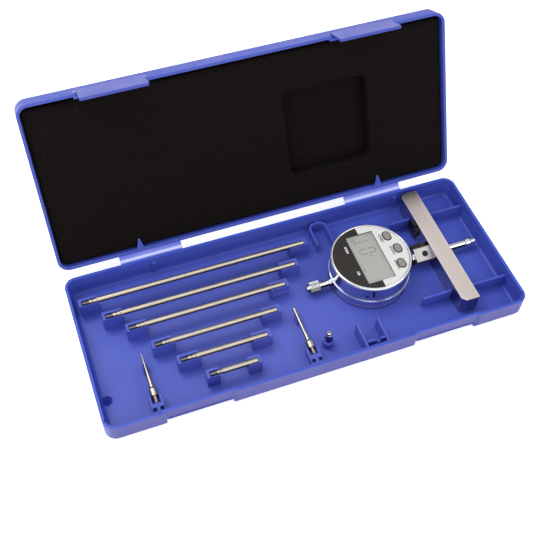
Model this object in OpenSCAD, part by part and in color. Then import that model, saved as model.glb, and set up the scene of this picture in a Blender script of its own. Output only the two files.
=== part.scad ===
// Digital depth gauge with extension rods and points, in an open moulded case.
// Places are measured in millimetres from the case's front left corner and from
// its underside. module place() then puts the origin at the centre of the underside.

/* [Case] */
// Distance from the case's left side to the longest rod's thread
left_gap = 8.4; // [8:0.1:16]
// Distance from the contact point's tip to the case's right side
right_gap = 6.8; // [6.5:0.1:16]
// Distance from the case's front to the base bar
front_gap = 12.9; // [12.9:0.1:18]
// Distance from the base bar to the case's back
back_gap = 6.5; // [5.5:0.1:12]
// Height of the tray
tray_h = 16; // [15.5:0.5:18]
// Height of the lid
lid_h = 15; // [14.5:0.5:15.5]
// Thickness of the walls at the rim
wall_t = 2; // [1.8:0.1:2.4]
// Thickness of the tray's floor
floor_t = 2; // [1.6:0.1:2.2]
// Radius of the case's corners, seen from above
corner_r = 8; // [5:0.5:12]
// Width of the tray's front rim
front_rim_w = 3; // [3:0.1:4]
// Width of the outer lip on top of the front wall
lip_w = 1.4; // [1.2:0.1:1.6]
// Depth of the step inside that lip
step_depth = 1.5; // [1:0.1:2]
// Lean of the walls from rim to floor, on each side
draft = 1.2; // [0.6:0.1:2]
// Gap between the lid's rim and the tray's rim
lid_gap = 0.2; // [0.1:0.05:0.4]
// Thickness of the ribs on the tray's floor
rib_t = 1.6; // [1:0.1:2.2]

/* [Hinge] */
// Width of each flexing strip
hinge_w = 45; // [30:1:60]
// Distance from the case's side to the middle of a strip and a clasp
hinge_inset = 63; // [50:1:75]
// Distance of the hinge axis behind the tray
hinge_reach = 3.3; // [3:0.1:4]
// Thickness of a flexing strip
strip_t = 0.7; // [0.5:0.1:1]
// How far the lid stands open, in degrees
lid_open = 114; // [95:1:130]

/* [Clasps] */
// Width of each clasp
clasp_w = 44.4; // [30:0.2:50]
// Thickness of a clasp
clasp_t = 1.5; // [1.2:0.1:1.8]
// Height of the ledge that the clasp hooks under
ledge_z = 5; // [4.5:0.1:5.5]
// Depth of the clasps' places in the front wall
clasp_recess = 1.2; // [1:0.1:1.4]
// Length of the rounded edge beside a clasp's place
ramp_l = 3.4; // [2:0.1:4]
// Radius of a clasp's pin
clasp_pin_r = 0.6; // [0.5:0.05:0.7]
// Gap round a clasp
clasp_gap = 0.4; // [0.3:0.05:0.6]

/* [Foam] */
// Distance from the lid's side to the foam's side
foam_inset = 3; // [3:0.1:4]
// Extra distance at the front, where the clasps' housings stand
foam_front = 1.2; // [1.2:0.1:3]
// How deep the foam's face lies below the lid's rim
foam_drop = 2.2; // [2:0.1:2.6]
// Gap round the dial in the foam's square window
relief_gap = 2.4; // [2:0.1:4]
// Thickness of the foam sheet behind the window
backing_t = 1.5; // [1:0.1:1.8]

/* [Gauge] */
// Distance from the longest rod's end to the display housing
rod_to_dial = 7.9; // [7:0.1:14]
// Height of the spindle's axis above the underside
axis_z = 8.4; // [8.3:0.05:8.6]
// Radius of the display housing
dial_r = 28.4; // [28:0.1:29]
// Wall of the display housing
shell_t = 1.8; // [1.6:0.1:2]
// Height of the display housing with its bezel
dial_h = 13.8; // [13.6:0.1:14.2]
// Width of the bezel ring, seen from above
bezel_w = 1.5; // [1.2:0.1:1.7]
// Width of the ledge under the display housing
foot_w = 0.7; // [0.4:0.1:0.9]
// Height of the bezel ring
bezel_h = 2; // [1.8:0.1:2.2]
// Thickness of the face
face_t = 1.2; // [1:0.1:1.4]
// Radius of the rear housing
rear_r = 27.6; // [27.2:0.1:28]
// Thickness of the rear cover
cover_t = 2; // [1.6:0.1:2.2]
// Width of the display window, along the spindle
window_w = 20.3; // [18:0.1:21]
// Length of the display window, across the spindle
window_l = 42; // [38:0.5:43]
// Width of an oval button
button_w = 4.5; // [4:0.1:5]
// Length of an oval button
button_l = 6.9; // [6:0.1:7.5]
// Radius of a small round button
small_button_r = 1.75; // [1.4:0.05:1.9]
// Travel of a button
button_travel = 0.7; // [0.5:0.05:0.8]
// Gap round a button in the face
button_gap = 0.15; // [0.1:0.05:0.2]

/* [Spindle] */
// Radius of the spindle
spindle_r = 2.35; // [2.2:0.05:2.4]
// Running clearance of the spindle in its bushes
run_gap = 0.03; // [0.02:0.01:0.06]
// Radius of the sleeve on the side of the lifting cap
sleeve_r = 3; // [2.8:0.1:3.3]
// Radius of the stem
stem_r = 4; // [3.9:0.05:4.1]
// Travel of the spindle
travel = 25.4; // [12.7:0.1:25.4]
// Distance from the dial's centre to the contact point's shoulder
shoulder_x = 76.5; // [75:0.1:78]
// Length of the contact point's collar
collar_l = 5; // [4:0.1:6]
// Radius of the contact point's collar
collar_r = 3.1; // [2.8:0.1:3.3]
// Length of the contact point's tip
tip_l = 4.2; // [3:0.1:5]
// Distance from the dial's centre to the lifting cap
cap_x = 37.5; // [36.5:0.1:38.5]
// Length of the lifting cap
cap_l = 9.9; // [9:0.1:12]
// Radius of the lifting cap
cap_r = 4; // [3.2:0.1:4.1]

/* [Depth base] */
// Distance from the dial's centre to the bar's near face
bar_x = 47.6; // [47.4:0.1:48]
// Length of the base bar
bar_l = 101.6; // [90:0.1:102]
// Width of the bar along the spindle
bar_w = 12.9; // [12:0.1:13.2]
// Height of the bar as it lies
bar_h = 15.4; // [14.8:0.1:15.6]
// Chamfer on the bar's inner corners
bar_chamfer = 2.8; // [1:0.1:4]
// Length of the clamp block along the spindle
block_l = 12.2; // [11:0.1:12.6]
// Width of the clamp block across the stem
block_w = 10.8; // [10.8:0.1:11.4]
// Top of the clamp block above the axis
block_top = 5.6; // [5.5:0.1:5.9]
// How far the clamp block is turned about the stem, in degrees
clamp_tilt = 24; // [20:1:26]
// Radius of the clamp knob
knob_r = 5.6; // [5:0.1:5.7]
// Thickness of the clamp knob
knob_t = 3; // [2.4:0.1:3.4]
// Radius of the knob on the bar
bar_knob_r = 6.3; // [5.5:0.1:6.5]
// Thickness of the knob on the bar
bar_knob_t = 1.6; // [1.2:0.1:2.4]
// Distance from the bar's end to that knob
knob_from_end = 26.8; // [26.8:0.1:32]

/* [Rods and points] */
// Length step of the rods
inch = 25.4; // [25.4:0.1:25.4]
// Radius of a rod
rod_r = 1.9; // [1.8:0.05:2]
// Radius of the male threads
thread_r = 1.3; // [1.2:0.05:1.35]
// Length of a male thread
thread_l = 5; // [4:0.1:5.4]
// Length of the neck behind a rod's thread
neck_l = 4.4; // [3:0.1:4.8]
// Length of the shortest rod's neck
short_neck_l = 2.4; // [2:0.1:3]
// Height of the rods' axes above the underside
rod_z = 13.3; // [13:0.05:13.4]
// Gap round a rod in its seat
seat_gap = 0.2; // [0.15:0.05:0.3]
// Thickness of a seat in front of its rod
seat_wall = 0.5; // [0.4:0.05:0.6]
// Height of the loose points' axes above the underside
point_z = 8; // [7.6:0.1:8.4]
// Radius of a loose point's head
head_r = 2.6; // [2.3:0.05:2.7]
// Width of a loose point's holder
holder_w = 8.8; // [7.6:0.1:10]

/* [Hidden] */
$fn = 48;
eps = 0.01;

// Places in the tray, each from what lies beside it
rod_mid = left_gap + thread_l + neck_l + 3 * inch;
dial_x = rod_mid + 3 * inch + rod_to_dial + dial_r;
axis_y = front_gap + bar_l / 2;
case_w = dial_x + shoulder_x + collar_l + tip_l + right_gap;
case_d = axis_y + bar_l / 2 + back_gap;
bar_left = dial_x + bar_x;
bar_right = bar_left + bar_w;

rim_z = tray_h;
lid_z = tray_h + lid_gap;
floor_z = floor_t;
hinge_y = case_d + hinge_reach;
hinge_xs = [hinge_inset + 1, case_w - hinge_inset - 1];
clasp_xs = [hinge_inset - 1, case_w - hinge_inset + 1];
lug_inset = 58;
lug_w = 5;
lug_l = 7.6;
lug_t = 1.2;
clasp_place_w = clasp_w + 2 * clasp_gap;
clasp_pin_y = 0.4;
clasp_pin_z = lid_z + 4.6;
barrel_r = 1.2;
lip_y = clasp_recess - 0.1;
bead_y = clasp_pin_y - barrel_r + clasp_t + 0.1;
bead_h = 1;
foam_z = lid_z + foam_drop;
foam_top = lid_z + lid_h - wall_t;
window_half = dial_r + relief_gap;

// Heights of the gauge's pieces
shell_z = axis_z + stem_r + 0.05;
dial_top = shell_z + dial_h;
shell_top = dial_top - bezel_h;
face_top = dial_top - 0.6;
face_z = face_top - face_t;
pan_depth = 1.2;
pan_r = rear_r + 0.4;
cover_z = floor_z - pan_depth + 0.2;
housing_z = cover_z + cover_t;
deck_t = 0.8;
deck_z = shell_z - deck_t;
rear_in_r = rear_r - shell_t;
shell_in_r = dial_r - shell_t;
face_r = dial_r - bezel_w - 0.15;
board_z = shell_z + 6.5;
board_t = 1.2;
lcd_t = 1.3;
lens_t = 1.2;
window_mid = -0.65;
lcd_z = face_z - 0.5 - lcd_t;
lens_z = lcd_z + lcd_t;
board_r = shell_in_r - 1;
battery_r = 10;
battery_t = 3.2;
battery_y = battery_r + 2.6 - shell_in_r;
battery_z = shell_z + 1.25;
flange_h = 1.2;
flange_z = face_z - flange_h - 0.1;
dome_top = flange_z - button_travel - 0.1;
button_proud = 0.45;
oval_buttons = [[17.9, 13.2], [20.8, 0.8], [17.9, -12]];
round_buttons = [[-16.8, 14.2], [-16.8, -13]];
screw_ring = 23.2;
door_from = -104;
door_to = -63;
door_z = shell_z + 1.5;
door_h = 8;
slot_at = -108.4;
door_screw_at = -117;

// The moving scale and its guide, from the dial's centre
bracket_x = 15.5;
bracket_w = 6;
stem_in = bracket_x + bracket_w + 0.1;
cap_stub_l = 2.2;
guide_y = -5.6;
guide_r = 1;
scale_y = 4.5;
scale_w = 5;

// The depth base, from the dial's centre
block_x = bar_x - 0.1 - block_l;
block_half = block_w / 2;
block_down = 5.2;
block_chamfer = 2;
spigot_r = 4.8;
spigot_l = 4.4;
bar_z = floor_z + 0.1;
knob_mid = block_x + block_l / 2;
screw_mid = knob_mid + 1.5;
set_r = 2.25;
bar_screw_at = [4.3, -4.1];
bar_knob_y = bar_l / 2 - knob_from_end;
bar_knob_z = 9.6;
bar_bore_r = collar_r + 0.25;
stem_end = bar_x + 1.5;

// Rods, longest first, all centred on one line
rod_y = [99.5, 83.9, 69.9, 51.6, 35, 18.4];
rod_inches = [6, 5, 4, 3, 2, 1];
seat_top = rod_z + 0.5;
seat_back = 4;
point_x = [rod_mid - 57.8, rod_mid + 50.9];
point_y = 18;
head_l = 5;
needle_l = 35;
flat_l = 33.4;
shank_r = 1;
post_x = point_x[1] + 12.8;
post_y = point_y + 2.1;
post_r = 3.9;
post_top = floor_t + 6.4;
empty_x = dial_x - 19.6;

// ---------- helpers ----------

module place() translate([-case_w / 2, -case_d / 2, 0]) children();

// Puts what is drawn round the dial's centre and the spindle's axis in its place
module gauge() place() translate([dial_x, axis_y, 0]) children();

// Turns what is drawn about the stem's axis, for the clamp block and what it carries
module on_stem() gauge() translate([0, 0, axis_z]) rotate([clamp_tilt, 0, 0]) children();

// Swings what is drawn on the closed case to where the lid stands open
module opened()
    place()
        translate([0, hinge_y, rim_z])
            rotate([-lid_open, 0, 0])
                translate([0, -hinge_y, -rim_z])
                    children();

module along_x(x0, x1, r) translate([x0, 0, 0]) rotate([0, 90, 0]) cylinder(r = r, h = x1 - x0);

module along_y(y0, y1, r) translate([0, y0, 0]) rotate([-90, 0, 0]) cylinder(r = r, h = y1 - y0);

module box(x0, x1, y0, y1, z0, z1) translate([x0, y0, z0]) cube([x1 - x0, y1 - y0, z1 - z0]);

module rounded_plan(inset, r, front = 0) {
    w = case_w - 2 * inset;
    d = case_d - 2 * inset - front;
    translate([inset, inset + front]) {
        translate([r, 0]) square([w - 2 * r, d]);
        translate([0, r]) square([w, d - 2 * r]);
        for (x = [r, w - r], y = [r, d - r]) translate([x, y]) circle(r = r, $fn = 32);
    }
}

module plan_slab(z, inset, r, front = 0)
    translate([0, 0, z]) linear_extrude(eps) rounded_plan(inset, r, front);

module slot_2d(w, l) {
    square([w, l - w], center = true);
    for (y = [-1, 1] * (l - w) / 2) translate([0, y]) circle(d = w);
}

// A wedge of the housing's wall between two angles
module wall_wedge(a0, a1, r0, r1, z0, h)
    translate([0, 0, z0])
        linear_extrude(h)
            intersection() {
                difference() {
                    circle(r = r1, $fn = 96);
                    circle(r = r0, $fn = 96);
                }
                polygon(concat([[0, 0]], [for (i = [0:3]) let (a = a0 + (a1 - a0) * i / 3)
                    1.2 * r1 * [cos(a), sin(a)]]));
            }

// Outline of a screw thread, turned about Z: rings of the thread's pitch
module thread(r, l, pitch = 0.7) {
    turns = floor(l / pitch);
    depth = 0.28;
    rotate_extrude($fn = 32)
        polygon(concat(
            [[0, 0]],
            [for (i = [0:turns - 1]) each [[r - depth, i * pitch], [r, (i + 0.5) * pitch]]],
            [[r - depth, turns * pitch], [r - depth, l], [0, l]]));
}

// A knurled disc about Z: a plain core with straight teeth
module knurled(r, h, teeth) {
    linear_extrude(h)
        union() {
            circle(r = r - 0.3);
            for (i = [0:teeth - 1])
                rotate(i * 360 / teeth)
                    translate([r - 0.4, 0])
                        circle(r = 0.4, $fn = 4);
        }
}

// ---------- the case ----------

module tray_outside()
    hull() {
        plan_slab(0, 2, corner_r - 2);
        plan_slab(0.8, 0.8, corner_r - 0.8);
        plan_slab(2.2, 0, corner_r);
        plan_slab(rim_z - eps, 0, corner_r);
    }

module tray_inside() {
    front = front_rim_w - wall_t;
    hull() {
        plan_slab(floor_z, wall_t + draft + 1.6, corner_r - wall_t - 1, front);
        plan_slab(floor_z + 0.8, wall_t + draft + 0.4, corner_r - wall_t, front);
        plan_slab(floor_z + 2.4, wall_t + draft - 0.2, corner_r - wall_t, front);
        plan_slab(rim_z + eps, wall_t, corner_r - wall_t, front);
    }
}

// The case is deeper at the clasps: the hollow for a hook has its own wall inside
module hook_hollow(grow)
    for (x = clasp_xs)
        translate([x, 0, 0])
            box(-clasp_place_w / 2 - grow, clasp_place_w / 2 + grow, -1, 4.4 + grow, -1,
                ledge_z + grow);

module clasp_places()
    for (x = clasp_xs)
        translate([x, 0, 0])
            box(-clasp_place_w / 2, clasp_place_w / 2, -1, clasp_recess, ledge_z - 1, rim_z + 1);

// The small ridge that a clasp's lip catches under
module clasp_beads()
    for (x = clasp_xs)
        translate([x, 0, 0])
            box(-clasp_place_w / 2 + 1, clasp_place_w / 2 - 1, bead_y, clasp_recess + 0.5,
                ledge_z, ledge_z + bead_h);

// Rounds the front wall's edge beside each clasp's place
module clasp_ramps() {
    bend_r = (ramp_l * ramp_l + clasp_recess * clasp_recess) / (2 * clasp_recess);
    arc = [for (i = [0:6]) let (d = ramp_l * i / 6) [ramp_l - d, bend_r - sqrt(bend_r * bend_r - d * d)]];
    outline = concat([[-eps, -1], [ramp_l, -1]], arc, [[-eps, clasp_recess]]);
    for (x = clasp_xs, side = [-1, 1])
        translate([x, 0, -1])
            linear_extrude(rim_z + 2)
                polygon([for (q = outline) [side * (clasp_place_w / 2 + q[0]), q[1]]]);
}

// A step inside the front wall's rim, which leaves a thin lip outside
module rim_step() {
    reach = clasp_place_w / 2 + ramp_l - 1;
    ends = [
        [0, clasp_xs[0] - reach], [clasp_xs[0] + reach, clasp_xs[1] - reach],
        [clasp_xs[1] + reach, case_w]
    ];
    translate([0, 0, rim_z - step_depth])
        linear_extrude(step_depth + 1)
            intersection() {
                rounded_plan(lip_w, corner_r - lip_w);
                for (e = ends) translate([e[0], 0]) square([e[1] - e[0], corner_r]);
            }
}

// Two seats for a rod of n inches: the left one holds its thread end
function rod_x0(n) = rod_mid - n * inch / 2;
function rod_x1(n) = rod_mid + n * inch / 2;
function neck(n) = n > 1 ? neck_l : short_neck_l;
function rod_tip(n) = rod_x0(n) - neck(n) - thread_l;
seat_reach = [-1.2, 3.4, 3.4, 2.4, 2, 1.4];
seat_end_gap = 0.3;
seat_end_w = 2.1;
cap_way_gap = 0.5;
function seat_right(n) = n > 1 ? [-11, 2.7] : [-6.8, 2.2];

module rod_seat(n, y) {
    tip = rod_tip(n) - seat_end_gap;
    left = tip - seat_end_w;
    left_end = rod_x0(n) + seat_reach[n - 1];
    right = rod_x1(n) + seat_right(n)[0];
    right_end = rod_x1(n) + seat_right(n)[1];
    groove_r = rod_r + seat_gap;
    front = y - groove_r - seat_wall;
    difference() {
        union() {
            box(left, left_end, front, y + seat_back, floor_z - eps, seat_top);
            box(right, right_end, front, y + seat_back, floor_z - eps, seat_top);
        }
        translate([0, y, rod_z]) along_x(tip, rod_x1(n) + 0.3, groove_r);
        box(tip, rod_x1(n) + 0.3, y - groove_r, y + groove_r, rod_z, rim_z);
        translate([dial_x - cap_x, axis_y, axis_z])
            along_x(-cap_l - travel - 1, 3, cap_r + cap_way_gap);
    }
}

// A low block for a loose point that lies along Y with its thread towards the front
module point_holder(x, tip_y) {
    pocket_r = head_r + seat_gap;
    pocket_y = point_y - thread_l - 0.4;
    translate([x, 0, 0])
        difference() {
            union() {
                box(-holder_w / 2, holder_w / 2, 5, point_y + 0.3, floor_z - eps, point_z + 1);
                box(-2, 2, point_y, point_y + 3.4, floor_z - eps, point_z - 1.2);
            }
            translate([0, 0, point_z]) {
                along_y(pocket_y, 30, pocket_r);
                box(-pocket_r, pocket_r, pocket_y, 30, 0, 20);
            }
            for (side = [-1, 1])
                translate([side * 2.4, 0, 0]) box(-1.3, 1.3, 6.6, 9.4, point_z - 2, 20);
        }
    difference() {
        translate([x, 0, 0])
            box(-1.7, 1.7, tip_y - 1.6, tip_y + rib_t + 2, floor_z - eps, point_z);
        translate([x, 0, point_z]) {
            along_y(tip_y - 5, tip_y + 9, shank_r + 0.05 + seat_gap);
            box(-shank_r - 0.05 - seat_gap, shank_r + 0.05 + seat_gap, tip_y - 5, tip_y + 9, 0, 20);
        }
    }
}

module bar_ribs() {
    top = rim_z - 4;
    near = bar_left - 0.5;
    far = bar_right + 0.5;
    right = case_w - wall_t - draft / 2;
    front = front_gap + 13;
    back = front_gap + bar_l - 20.6;
    ribs = [
        [near - 22, near, front + 0.6], [near - 16, near, back + 0.6],
        [far, right, front], [far, right, back]
    ];
    for (rib = ribs)
        translate([0, rib[2], floor_z - eps])
            box(rib[0], rib[1], 0, rib_t, 0, top - floor_z);
}

// An arched rib between the dial's left edge and the back wall
module finger_rib() {
    w = 13.8;
    top = 24.6;
    r = 5.5;
    inner = r - rib_t;
    translate([dial_x - 26.4, axis_y + 28.3, floor_z - eps])
        linear_extrude(8) {
            difference() {
                union() {
                    translate([r, 0]) square([w - 2 * r, top]);
                    square([w, top - r]);
                    for (x = [r, w - r]) translate([x, top - r]) circle(r = r);
                }
                translate([r, -1]) square([w - 2 * r, top + 1 - rib_t]);
                translate([rib_t, -1]) square([w - 2 * rib_t, top + 1 - r]);
                for (x = [r, w - r]) translate([x, top - r]) circle(r = inner);
                translate([-1, -1]) square([5, 5]);
            }
            translate([w / 2 + 0.6, top - 0.8]) square([1.2, 4.4]);
        }
}

// The empty holder near the front, for a point of another length
module spare_holder() {
    x = empty_x;
    half_w = 7.7;
    for (side = [-1, 1])
        translate([x + side * half_w, 0, 0])
            box(-rib_t / 2, rib_t / 2, front_rim_w, 22.8, floor_z - eps, rim_z - 2.4);
    difference() {
        translate([x, 0, 0]) box(-half_w, half_w, 7, 7 + rib_t, floor_z - eps, rim_z - 3.4);
        translate([x + 2, 0, 0]) box(-1.6, 1.6, 0, 20, 9, rim_z);
    }
}

module button_post()
    difference() {
        translate([post_x, post_y, floor_z - eps]) cylinder(r = post_r, h = post_top - floor_z);
        translate([post_x, post_y, post_top - thread_l - 0.5])
            cylinder(r = thread_r + 0.1, h = thread_l + 1);
    }

module case_tray()
    color([0.29, 0.33, 0.70])
        place()
            difference() {
                union() {
                    difference() {
                        union() {
                            difference() {
                                tray_outside();
                                tray_inside();
                            }
                            intersection() {
                                tray_outside();
                                hook_hollow(1.6);
                            }
                        }
                        hook_hollow(0);
                        clasp_places();
                        clasp_ramps();
                        rim_step();
                    }
                    clasp_beads();
                    for (i = [0:5]) rod_seat(rod_inches[i], rod_y[i]);
                    point_holder(point_x[0], point_y + 22);
                    point_holder(point_x[1], point_y + 25);
                    spare_holder();
                    button_post();
                    bar_ribs();
                    finger_rib();
                    for (x = [hinge_xs[0], bar_left - 2.6])
                        translate([x, case_d - wall_t - 0.9, floor_z - eps])
                            cylinder(r = 1.6, h = rim_z - floor_z - 3);
                }
                translate([dial_x, axis_y, floor_z - pan_depth]) cylinder(r = pan_r, h = 3, $fn = 96);
                translate([6.6, 28, floor_z - 1.2]) cylinder(r = 3.5, h = 3);
            }

module lid_outside()
    hull() {
        plan_slab(lid_z, 0, corner_r);
        plan_slab(lid_z + lid_h - 2.2, 0, corner_r);
        plan_slab(lid_z + lid_h - 0.8, 0.8, corner_r - 0.8);
        plan_slab(lid_z + lid_h - eps, 2, corner_r - 2);
    }

module lid_inside()
    translate([0, 0, lid_z - 1])
        linear_extrude(lid_h - wall_t + 1)
            rounded_plan(wall_t, corner_r - wall_t);

module lid_lug(x)
    translate([x, case_d - wall_t + eps, lid_z + 0.1])
        linear_extrude(lug_t)
            polygon([[-lug_w / 2, 0], [lug_w / 2, 0], [0.6, -lug_l], [-0.6, -lug_l]]);

module case_lid()
    color([0.29, 0.33, 0.70])
        opened()
            difference() {
                union() {
                    difference() {
                        lid_outside();
                        lid_inside();
                    }
                    for (x = clasp_xs)
                        translate([x, 0, 0])
                            box(-clasp_place_w / 2 - 2, clasp_place_w / 2 + 2, 1, 3.5, lid_z,
                                clasp_pin_z + barrel_r + 2.4);
                    for (x = [lug_inset, case_w - lug_inset]) lid_lug(x);
                }
                for (x = clasp_xs) {
                    translate([x, 0, 0])
                        box(-clasp_place_w / 2, clasp_place_w / 2, -1,
                            clasp_pin_y + barrel_r + 0.25, lid_z - 1,
                            clasp_pin_z + barrel_r + 0.4);
                    translate([x, clasp_pin_y, clasp_pin_z])
                        along_x(-clasp_place_w / 2 - 1.5, clasp_place_w / 2 + 1.5, clasp_pin_r + eps);
                }
            }

module clasp(x)
    color([0.27, 0.31, 0.67])
        opened()
            translate([x, 0, 0])
                difference() {
                    union() {
                        translate([0, clasp_pin_y, clasp_pin_z])
                            along_x(-clasp_w / 2, clasp_w / 2, barrel_r);
                        box(-clasp_w / 2, clasp_w / 2, clasp_pin_y - barrel_r,
                            clasp_pin_y - barrel_r + clasp_t, ledge_z - 2, clasp_pin_z);
                        box(-clasp_w / 2, clasp_w / 2, clasp_pin_y - barrel_r, lip_y,
                            ledge_z - 2, ledge_z - 0.4);
                    }
                    translate([0, clasp_pin_y, clasp_pin_z])
                        along_x(-clasp_w, clasp_w, clasp_pin_r + run_gap);
                }

module clasp_left() clasp(clasp_xs[0]);

module clasp_right() clasp(clasp_xs[1]);

module clasp_pins()
    color([0.75, 0.76, 0.78])
        opened()
            for (x = clasp_xs)
                translate([x, clasp_pin_y, clasp_pin_z])
                    along_x(-clasp_place_w / 2 - 1.4, clasp_place_w / 2 + 1.4, clasp_pin_r);

// A point of the closed lid, turned with it about the hinge, as [y, z]
function turned(y, z) = [
    hinge_y + (y - hinge_y) * cos(lid_open) + (z - rim_z) * sin(lid_open),
    rim_z - (y - hinge_y) * sin(lid_open) + (z - rim_z) * cos(lid_open)
];

// Each strip bends from the tray's back face to the lid's back face
module living_hinges() {
    start = [case_d, rim_z - 0.5];
    end = turned(case_d + 0.05, lid_z + 0.5);
    lid_way = [cos(lid_open), -sin(lid_open)];
    reach = (end[1] - start[1]) / -lid_way[1];
    bend = end + reach * lid_way;
    steps = 8;
    path = [for (i = [0:steps]) let (t = i / steps)
        (1 - t) * (1 - t) * start + 2 * t * (1 - t) * bend + t * t * end];
    ways = [for (i = [0:steps]) let (t = i / steps, v = (1 - t) * (bend - start) + t * (end - bend))
        v / norm(v)];
    half = strip_t / 2;
    upper = [for (i = [0:steps]) path[i] + half * [-ways[i][1], ways[i][0]]];
    lower = [for (i = [0:steps]) path[steps - i] - half * [-ways[steps - i][1], ways[steps - i][0]]];
    color([0.55, 0.60, 0.86])
        place()
            for (x = hinge_xs)
                translate([x - hinge_w / 2, 0, 0])
                    rotate([90, 0, 90])
                        linear_extrude(hinge_w)
                            polygon(concat(upper, lower));
}

module foam_pad()
    color([0.07, 0.06, 0.06])
        opened()
            translate([0, 0, foam_z])
                linear_extrude(foam_top - foam_z - 0.05)
                    difference() {
                        rounded_plan(foam_inset, corner_r - 4.5, foam_front);
                        translate([dial_x, axis_y]) square(2 * window_half, center = true);
                    }

module foam_backing()
    color([0.07, 0.06, 0.06])
        opened()
            translate([dial_x, axis_y, foam_top - 0.05 - backing_t])
                linear_extrude(backing_t)
                    square(2 * window_half - 0.2, center = true);

// ---------- the gauge ----------

module front_shell()
    color([0.80, 0.81, 0.83])
        gauge()
            difference() {
                rotate_extrude($fn = 96)
                    polygon([
                        [20, shell_z], [dial_r - 0.4, shell_z], [dial_r, shell_z + 0.4],
                        [dial_r, shell_top], [face_r + 0.1, shell_top], [face_r + 0.1, face_z],
                        [25.9, face_z], [25.9, face_z - 1.2], [shell_in_r, face_z - 1.9],
                        [shell_in_r, board_z], [24.4, board_z], [24.4, board_z - 1],
                        [shell_in_r, board_z - 2], [shell_in_r, shell_z + 1.2], [20, shell_z + 1.2]
                    ]);
                wall_wedge(door_from, door_to, 24, dial_r + 1, door_z, door_h);
                rotate(slot_at)
                    box(shell_in_r + 0.6, dial_r + 1, -0.65, 0.65, shell_z + 4, shell_z + 10);
                rotate(door_screw_at)
                    translate([0, 0, shell_z + 4.7])
                        along_x(shell_in_r - 2, dial_r + 1, 1.26);
            }

module bezel_ring()
    color([0.90, 0.90, 0.88])
        gauge()
            rotate_extrude($fn = 96)
                polygon([
                    [face_r + 0.12, shell_top], [dial_r, shell_top], [dial_r, dial_top - 0.9],
                    [dial_r - 0.25, dial_top - 0.3], [dial_r - 0.75, dial_top],
                    [dial_r - bezel_w + 0.25, dial_top], [dial_r - bezel_w, dial_top - 0.2],
                    [dial_r - bezel_w, face_top + 0.02], [face_r + 0.12, face_top + 0.02]
                ]);

module face_plate()
    color([0.90, 0.89, 0.85])
        gauge()
            translate([0, 0, face_z])
                linear_extrude(face_t)
                    difference() {
                        circle(r = face_r, $fn = 96);
                        translate([window_mid, 0]) square([window_w, window_l], center = true);
                        for (p = oval_buttons)
                            translate(p) slot_2d(button_w + 2 * button_gap, button_l + 2 * button_gap);
                        for (p = round_buttons)
                            translate(p) circle(r = small_button_r + button_gap);
                    }

module window_lens()
    color([0.70, 0.72, 0.70, 0.5])
        gauge()
            translate([window_mid, 0, lens_z])
                linear_extrude(lens_t)
                    square([window_w - 0.2, window_l - 0.2], center = true);

module lcd_panel()
    color([0.62, 0.64, 0.60])
        gauge()
            translate([window_mid, 0, lcd_z])
                linear_extrude(lcd_t)
                    square([window_w + 0.6, window_l + 0.6], center = true);

module lcd_frame()
    color([0.20, 0.20, 0.20])
        gauge()
            translate([window_mid, 0, board_z + board_t])
                linear_extrude(lcd_z - board_z - board_t)
                    difference() {
                        square([window_w + 1, window_l + 1], center = true);
                        square([window_w - 4, window_l - 4], center = true);
                    }

module oval_button(p)
    color([0.55, 0.54, 0.51])
        gauge()
            translate([p[0], p[1], flange_z]) {
                linear_extrude(flange_h) slot_2d(button_w + 1, button_l + 1);
                linear_extrude(face_top + button_proud - flange_z) slot_2d(button_w, button_l);
            }

module round_button(p)
    color([0.10, 0.10, 0.13])
        gauge()
            translate([p[0], p[1], flange_z]) {
                cylinder(r = small_button_r + 0.5, h = flange_h);
                cylinder(r = small_button_r, h = face_top + button_proud - flange_z);
            }

module button_on() oval_button(oval_buttons[0]);

module button_zero() oval_button(oval_buttons[1]);

module button_unit() oval_button(oval_buttons[2]);

module button_up() round_button(round_buttons[0]);

module button_down() round_button(round_buttons[1]);

module key_domes()
    color([0.85, 0.85, 0.82])
        gauge()
            for (p = concat(oval_buttons, round_buttons))
                translate([p[0], p[1], board_z + board_t])
                    cylinder(r1 = 2.2, r2 = 1.4, h = dome_top - board_z - board_t);

module circuit_board()
    color([0.10, 0.35, 0.20])
        gauge()
            translate([0, 0, board_z])
                cylinder(r = board_r, h = board_t, $fn = 96);

module battery()
    color([0.78, 0.79, 0.80])
        gauge()
            translate([0, battery_y, battery_z])
                cylinder(r = battery_r, h = battery_t);

module battery_clip()
    color([0.75, 0.70, 0.50])
        gauge() {
            translate([0, battery_y, battery_z + battery_t]) {
                box(-3, 3, -6, battery_r + 2, 0, 0.45);
                box(-3, 3, battery_r + 1, battery_r + 2, 0, board_z - battery_z - battery_t);
            }
        }

module battery_door()
    color([0.78, 0.79, 0.81])
        gauge()
            wall_wedge(door_from + 0.3, door_to - 0.3, shell_in_r, dial_r - 0.05, door_z + 0.02,
                door_h - 0.12);

module door_screw()
    color([0.30, 0.30, 0.32])
        gauge()
            rotate(door_screw_at)
                translate([0, 0, shell_z + 4.7])
                    difference() {
                        along_x(shell_in_r - 1, dial_r - 0.1, 1.22);
                        box(dial_r - 0.7, dial_r + 1, -0.2, 0.2, -2, 2);
                    }

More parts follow.
